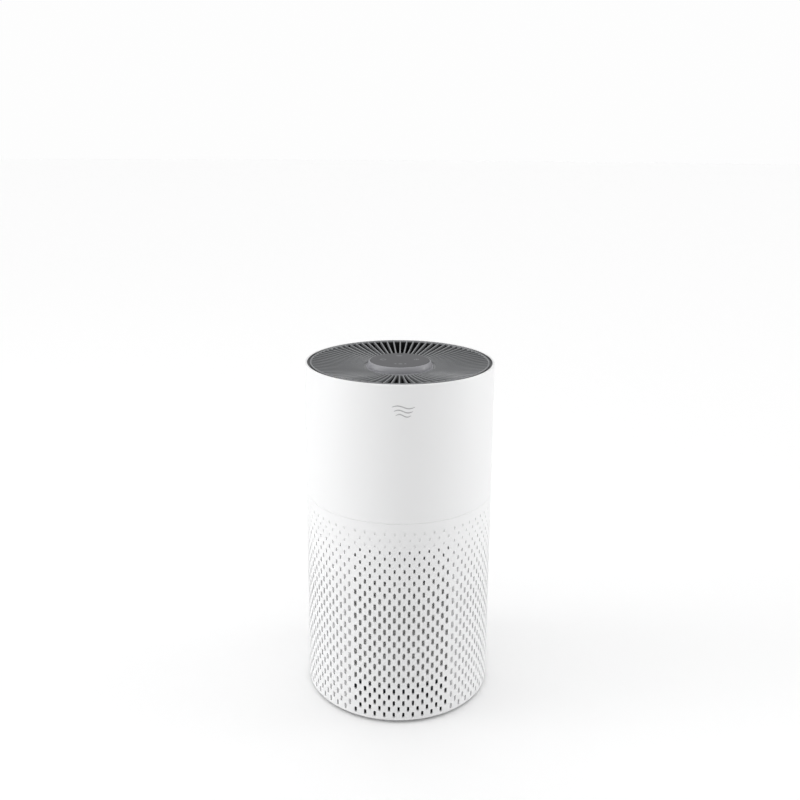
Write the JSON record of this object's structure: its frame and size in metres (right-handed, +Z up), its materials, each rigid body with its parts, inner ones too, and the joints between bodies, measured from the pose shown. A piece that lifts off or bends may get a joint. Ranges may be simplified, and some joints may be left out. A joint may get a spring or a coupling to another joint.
{
  "type": "air purifier",
  "caption": "Upright cylindrical air purifier with a slotted intake shell, radial-fin outlet grille, round touch panel and twist-off base.",
  "frame": {"origin": "centre of the foot ring on the floor", "axes": "+Z up along the body's axis, -Y towards the front, which carries the emblem"},
  "size_m": [0.22, 0.22, 0.4],
  "materials": {
    "shell_white": "satin white ABS",
    "grille_grey": "fine-textured dark grey ABS",
    "trim_dark": "matte charcoal ABS",
    "puck_grey": "satin mid grey ABS",
    "panel_grey": "satin touch panel",
    "emblem_grey": "satin grey inlay",
    "foot_rubber": "matte rubber",
    "cap_foam": "moulded polyurethane",
    "media_paper": "pleated filter paper",
    "mesh_nylon": "white woven nylon mesh",
    "carbon_cloth": "activated carbon cloth",
    "gasket_foam": "closed-cell foam",
    "tab_ribbon": "woven ribbon",
    "inner_plastic": "unpainted light grey ABS",
    "fan_plastic": "glass-filled plastic",
    "steel": "zinc-plated steel",
    "shaft_steel": "ground steel",
    "motor_steel": "grey-coated steel can",
    "copper": "enamelled copper windings",
    "damper_rubber": "soft rubber",
    "board_green": "solder-masked circuit board",
    "light_clear": "frosted light guide",
    "pin_brass": "plated brass"
  },
  "bodies": {
    "base": {"foot_ring": "foot_rubber", "base_cover": "shell_white"},
    "filter": {"filter_bottom_cap": "cap_foam", "filter_media": "media_paper", "carbon_layer": "carbon_cloth", "prefilter_mesh": "mesh_nylon", "filter_top_cap": "cap_foam", "filter_gasket": "gasket_foam", "filter_pull_tab": "tab_ribbon"},
    "housing": {"lower_shell": "shell_white", "chassis_ring": "trim_dark", "power_inlet": "trim_dark", "inlet_pins": "pin_brass", "wire_channel": "inner_plastic", "plenum_plate": "inner_plastic", "inlet_ring": "inner_plastic", "fan_guard": "trim_dark", "guard_screws": "steel", "fan_duct": "inner_plastic", "diffuser": "trim_dark", "motor_mount": "fan_plastic", "mount_screws": "steel", "motor_dampers": "damper_rubber", "motor_screws": "steel", "motor_housing": "motor_steel", "stator": "copper", "bearings": "shaft_steel", "inner_drum": "trim_dark", "power_board": "board_green", "upper_shell": "shell_white", "rim_ring": "trim_dark", "top_grille": "grille_grey", "control_housing": "puck_grey", "control_board": "board_green", "light_guide": "light_clear", "touch_panel": "panel_grey", "emblem": "emblem_grey"},
    "fan": {"impeller": "fan_plastic", "motor_shaft": "shaft_steel", "rotor": "motor_steel", "lock_nut": "steel"}
  },
  "joints": [
    {"name": "base_twist", "type": "hinge", "parent": "base", "child": "filter", "pos_m": [0, 0, 0], "axis": [0, 0, 1], "range_deg": [0, 20]},
    {"name": "housing_lift", "type": "slide", "parent": "filter", "child": "housing", "axis": [0, 0, 1], "range_m": [0, 0.24]},
    {"name": "fan_spin", "type": "hinge", "parent": "housing", "child": "fan", "pos_m": [0, 0, 0.3], "axis": [0, 0, 1], "continuous": true}
  ]
}
